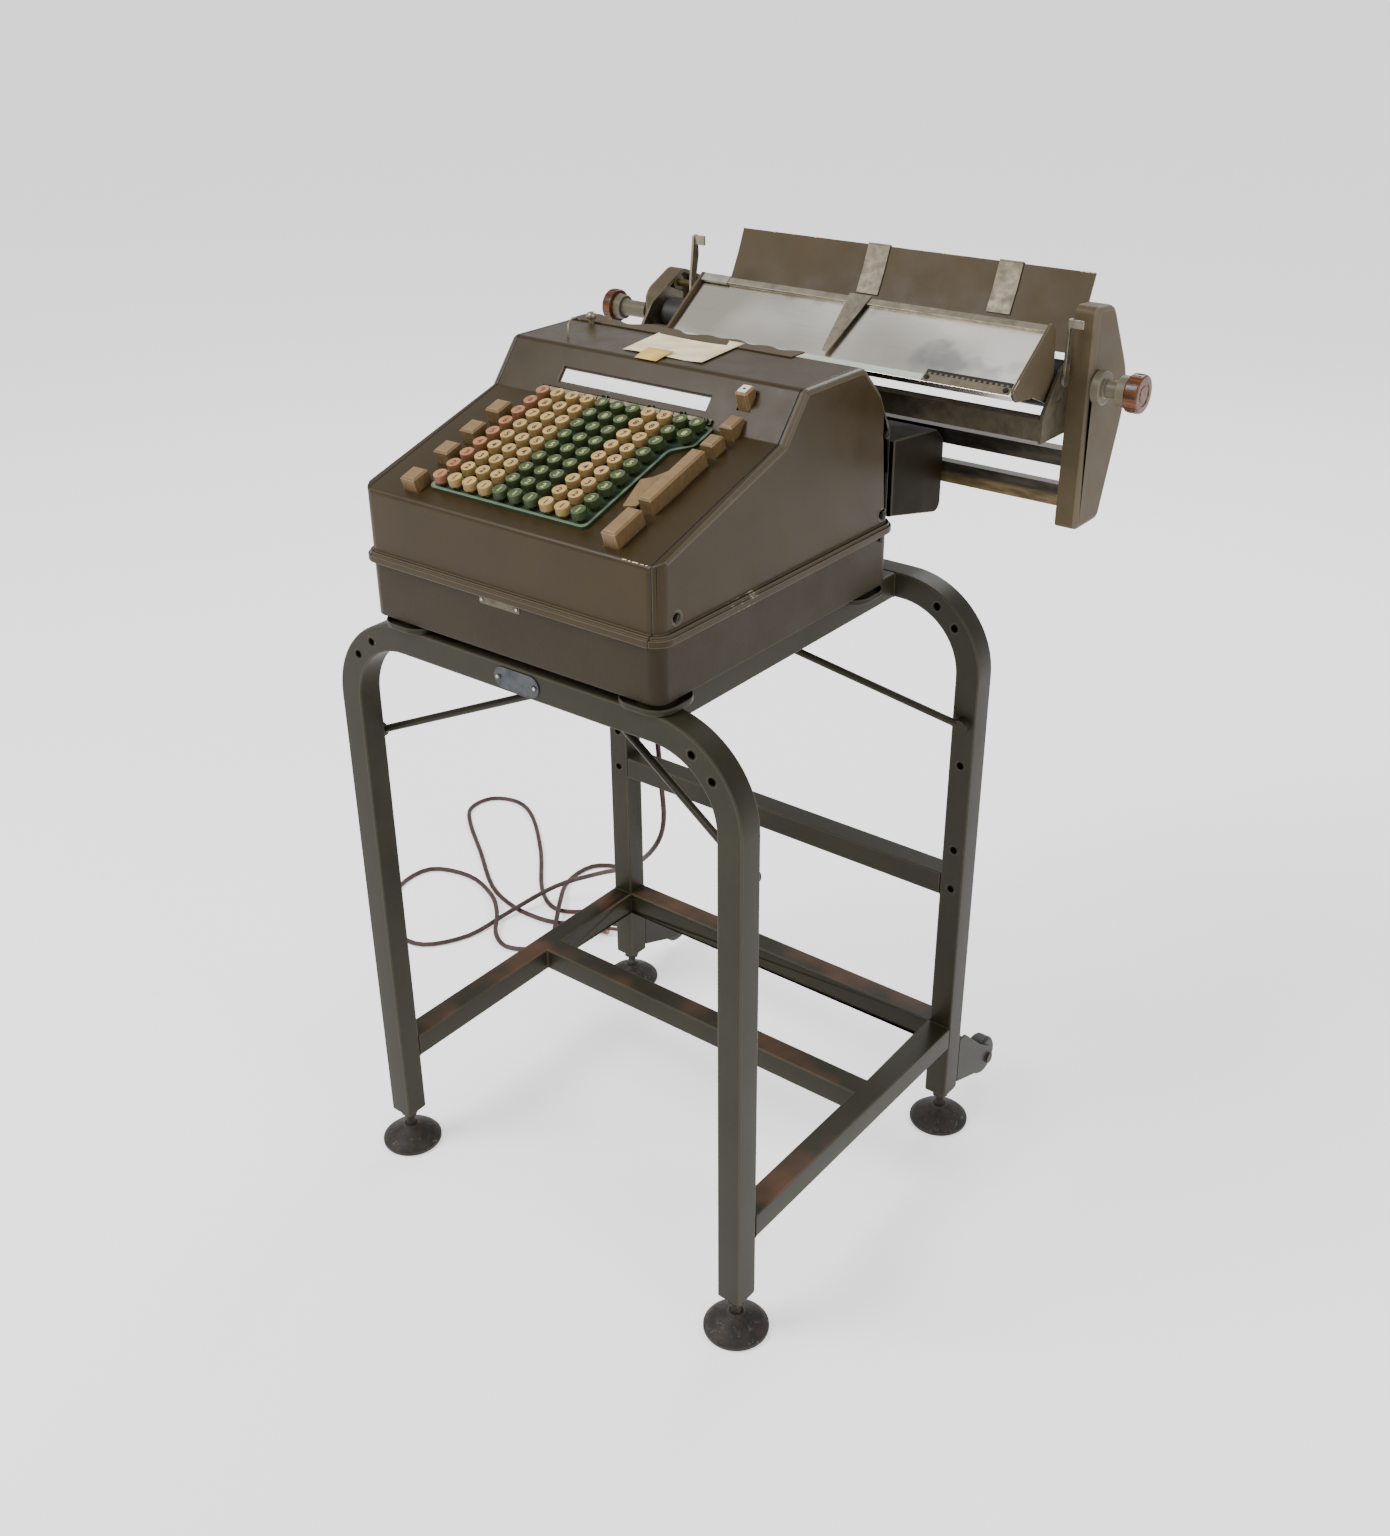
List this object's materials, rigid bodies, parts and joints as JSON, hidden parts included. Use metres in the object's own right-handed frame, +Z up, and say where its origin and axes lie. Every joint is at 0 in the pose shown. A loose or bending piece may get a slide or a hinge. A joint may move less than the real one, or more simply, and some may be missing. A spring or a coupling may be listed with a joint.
{
  "type": "bookkeeping machine",
  "caption": "Electric key-driven bookkeeping machine with a wide moving carriage and full round-key keyboard, on a square-tube stand with screw feet and rear casters.",
  "frame": {"origin": "middle of the bounding box of the machine and stand without the cord, on the floor plane under the feet", "axes": "+X to the operator's right, +Y from the operator towards the back of the machine, +Z up"},
  "size_m": [1.1422, 0.724, 1.011],
  "materials": {
    "stand_enamel": "satin olive grey enamel on steel tube, worn",
    "cast_foot": "dull cast iron",
    "cup_steel": "pressed steel trays, dull paint, black rubber pads",
    "wheel_rubber": "matt black rubber",
    "case_enamel": "semi-gloss brown-olive enamel",
    "keyboard_enamel": "dark green enamel",
    "red_keys": "glossy orange-red key caps",
    "cream_keys": "glossy cream key caps",
    "green_keys": "glossy green key caps",
    "tan_keys": "glossy tan key caps",
    "nickel": "dull nickel plate",
    "window": "clear glass",
    "machine_steel": "oiled dark steel",
    "motor_paint": "black enamel on a cast motor",
    "dial_white": "off-white dials",
    "platen_rubber": "hard black rubber",
    "bakelite": "brown moulded plastic",
    "chute_metal": "polished aluminium",
    "cord_rubber": "dull brown rubber"
  },
  "bodies": {
    "stand_and_machine": {"front_frame": "stand_enamel", "rear_frame": "stand_enamel", "upper_rails": "stand_enamel", "lower_rails": "stand_enamel", "brace_rods": "stand_enamel", "machine_cups": "cup_steel", "caster_brackets": "stand_enamel", "tag_plate": "nickel", "lower_case": "case_enamel", "centre_cover": "case_enamel", "left_side_cover": "case_enamel", "right_side_cover": "case_enamel", "cover_screws": "nickel", "keyboard_plate": "keyboard_enamel", "window_glass": "window", "comma_bar": "nickel", "mechanism_frame": "machine_steel", "drive_motor": "motor_paint", "rear_housing": "case_enamel", "power_cord": "cord_rubber", "cord_plug": "cord_rubber", "cord_gland": "cord_rubber"},
    "foot_front_left": {"foot_front_left": "cast_foot"},
    "foot_front_right": {"foot_front_right": "cast_foot"},
    "foot_rear_left": {"foot_rear_left": "cast_foot"},
    "foot_rear_right": {"foot_rear_right": "cast_foot"},
    "wheel_left": {"caster_wheel_left": "wheel_rubber"},
    "wheel_right": {"caster_wheel_right": "wheel_rubber"},
    "bank_1": {"keys_columns_1": "red_keys"},
    "bank_2_4": {"keys_columns_2_4": "cream_keys"},
    "bank_5_7": {"keys_columns_5_7": "green_keys"},
    "bank_8_9": {"keys_columns_8_9": "cream_keys"},
    "bank_10_11": {"keys_columns_10_11": "green_keys"},
    "left_key_1": {"left_key_1": "tan_keys"},
    "left_key_2": {"left_key_2": "tan_keys"},
    "left_key_3": {"left_key_3": "tan_keys"},
    "left_key_4": {"left_key_4": "tan_keys"},
    "right_key_1": {"right_key_1": "tan_keys"},
    "right_key_2": {"right_key_2": "tan_keys"},
    "right_key_3": {"right_key_3": "tan_keys"},
    "motor_bar": {"motor_bar": "tan_keys"},
    "front_key": {"front_key": "tan_keys"},
    "slide_lever": {"slide_lever": "tan_keys"},
    "comma_pointers": {"comma_pointers": "nickel"},
    "drive_shaft": {"drive_shaft": "machine_steel"},
    "dials": {"dial_wheels": "dial_white"},
    "carriage": {"left_end_plate": "case_enamel", "right_end_plate": "case_enamel", "carriage_beam": "machine_steel", "carriage_rails": "machine_steel", "paper_table": "case_enamel"},
    "platen": {"platen": "platen_rubber", "platen_knobs": "bakelite"},
    "feed_roll": {"feed_roll": "platen_rubber"},
    "chute": {"front_chute": "chute_metal", "chute_frame": "nickel"},
    "form_pointer": {"form_pointer": "nickel"},
    "table_guides": {"table_guides": "nickel"},
    "left_finger_lever": {"left_finger_lever": "nickel"},
    "right_finger_lever": {"right_finger_lever": "nickel"}
  },
  "joints": [
    {"name": "foot_front_left_turn", "type": "hinge", "parent": "stand_and_machine", "child": "foot_front_left", "pos_m": [-0.28825, -0.25538, 0.048], "axis": [0, 0, 1], "continuous": true},
    {"name": "foot_rear_left_turn", "type": "hinge", "parent": "stand_and_machine", "child": "foot_rear_left", "pos_m": [-0.28825, 0.16412, 0.048], "axis": [0, 0, 1], "continuous": true},
    {"name": "foot_front_right_turn", "type": "hinge", "parent": "stand_and_machine", "child": "foot_front_right", "pos_m": [0.20325, -0.25538, 0.048], "axis": [0, 0, 1], "continuous": true},
    {"name": "foot_rear_right_turn", "type": "hinge", "parent": "stand_and_machine", "child": "foot_rear_right", "pos_m": [0.20325, 0.16412, 0.048], "axis": [0, 0, 1], "continuous": true},
    {"name": "wheel_left_spin", "type": "hinge", "parent": "stand_and_machine", "child": "wheel_left", "pos_m": [-0.28825, 0.25738, 0.043], "axis": [1, 0, 0], "continuous": true},
    {"name": "wheel_right_spin", "type": "hinge", "parent": "stand_and_machine", "child": "wheel_right", "pos_m": [0.20325, 0.25738, 0.043], "axis": [1, 0, 0], "continuous": true},
    {"name": "bank_1_press", "type": "slide", "parent": "stand_and_machine", "child": "bank_1", "axis": [0, -0.3124, 0.95], "range_m": [-0.0033, 0], "stiffness_N_per_m": 2000, "springref_m": 0.004},
    {"name": "bank_2_4_press", "type": "slide", "parent": "stand_and_machine", "child": "bank_2_4", "axis": [0, -0.3124, 0.95], "range_m": [-0.0033, 0], "stiffness_N_per_m": 2000, "springref_m": 0.004},
    {"name": "bank_5_7_press", "type": "slide", "parent": "stand_and_machine", "child": "bank_5_7", "axis": [0, -0.3124, 0.95], "range_m": [-0.0033, 0], "stiffness_N_per_m": 2000, "springref_m": 0.004},
    {"name": "bank_8_9_press", "type": "slide", "parent": "stand_and_machine", "child": "bank_8_9", "axis": [0, -0.3124, 0.95], "range_m": [-0.0033, 0], "stiffness_N_per_m": 2000, "springref_m": 0.004},
    {"name": "bank_10_11_press", "type": "slide", "parent": "stand_and_machine", "child": "bank_10_11", "axis": [0, -0.3124, 0.95], "range_m": [-0.0033, 0], "stiffness_N_per_m": 2000, "springref_m": 0.004},
    {"name": "left_key_1_press", "type": "slide", "parent": "stand_and_machine", "child": "left_key_1", "axis": [0, -0.3124, 0.95], "range_m": [-0.004, 0], "stiffness_N_per_m": 500, "springref_m": 0.003},
    {"name": "left_key_2_press", "type": "slide", "parent": "stand_and_machine", "child": "left_key_2", "axis": [0, -0.3124, 0.95], "range_m": [-0.004, 0], "stiffness_N_per_m": 500, "springref_m": 0.003},
    {"name": "left_key_3_press", "type": "slide", "parent": "stand_and_machine", "child": "left_key_3", "axis": [0, -0.3124, 0.95], "range_m": [-0.004, 0], "stiffness_N_per_m": 500, "springref_m": 0.003},
    {"name": "left_key_4_press", "type": "slide", "parent": "stand_and_machine", "child": "left_key_4", "axis": [0, -0.3124, 0.95], "range_m": [-0.004, 0], "stiffness_N_per_m": 500, "springref_m": 0.003},
    {"name": "right_key_1_press", "type": "slide", "parent": "stand_and_machine", "child": "right_key_1", "axis": [0, -0.3124, 0.95], "range_m": [-0.004, 0], "stiffness_N_per_m": 500, "springref_m": 0.003},
    {"name": "right_key_2_press", "type": "slide", "parent": "stand_and_machine", "child": "right_key_2", "axis": [0, -0.3124, 0.95], "range_m": [-0.004, 0], "stiffness_N_per_m": 500, "springref_m": 0.003},
    {"name": "right_key_3_press", "type": "slide", "parent": "stand_and_machine", "child": "right_key_3", "axis": [0, -0.3124, 0.95], "range_m": [-0.004, 0], "stiffness_N_per_m": 500, "springref_m": 0.003},
    {"name": "motor_bar_press", "type": "slide", "parent": "stand_and_machine", "child": "motor_bar", "axis": [0, -0.3124, 0.95], "range_m": [-0.004, 0], "stiffness_N_per_m": 500, "springref_m": 0.003},
    {"name": "front_key_press", "type": "slide", "parent": "stand_and_machine", "child": "front_key", "axis": [0, -0.3124, 0.95], "range_m": [-0.004, 0], "stiffness_N_per_m": 500, "springref_m": 0.003},
    {"name": "slide_lever_move", "type": "slide", "parent": "stand_and_machine", "child": "slide_lever", "axis": [0, 0.95, 0.3124], "range_m": [-0.006, 0.006]},
    {"name": "comma_pointers_move", "type": "slide", "parent": "stand_and_machine", "child": "comma_pointers", "axis": [1, 0, 0], "range_m": [-0.015, 0.015]},
    {"name": "drive_shaft_turn", "type": "hinge", "parent": "stand_and_machine", "child": "drive_shaft", "pos_m": [-0.0625, -0.06563, 0.8], "axis": [1, 0, 0], "continuous": true},
    {"name": "dials_turn", "type": "hinge", "parent": "stand_and_machine", "child": "dials", "pos_m": [-0.0625, -0.05309, 0.90611], "axis": [1, 0, 0], "continuous": true},
    {"name": "carriage_travel", "type": "slide", "parent": "stand_and_machine", "child": "carriage", "axis": [1, 0, 0], "range_m": [-0.2, 0.1]},
    {"name": "platen_turn", "type": "hinge", "parent": "carriage", "child": "platen", "pos_m": [-0.0425, 0.21638, 0.914], "axis": [1, 0, 0], "continuous": true},
    {"name": "feed_roll_turn", "type": "hinge", "parent": "carriage", "child": "feed_roll", "pos_m": [-0.0425, 0.23058, 0.8894], "axis": [1, 0, 0], "continuous": true},
    {"name": "chute_tilt", "type": "hinge", "parent": "carriage", "child": "chute", "pos_m": [0.0475, 0.18937, 0.905], "axis": [1, 0, 0], "range_deg": [0, 8]},
    {"name": "form_pointer_move", "type": "slide", "parent": "chute", "child": "form_pointer", "axis": [1, 0, 0], "range_m": [-0.1, 0.1]},
    {"name": "table_guides_move", "type": "slide", "parent": "carriage", "child": "table_guides", "axis": [1, 0, 0], "range_m": [-0.06, 0.06]},
    {"name": "left_finger_lever_swing", "type": "hinge", "parent": "carriage", "child": "left_finger_lever", "pos_m": [-0.1885, 0.18937, 0.905], "axis": [1, 0, 0], "range_deg": [-6, 10]},
    {"name": "right_finger_lever_swing", "type": "hinge", "parent": "carriage", "child": "right_finger_lever", "pos_m": [0.2585, 0.19437, 0.922], "axis": [1, 0, 0], "range_deg": [0, 12]}
  ],
  "couplings": [
    {"joint": "feed_roll_turn", "follows": "platen_turn", "ratio": -2.5}
  ]
}
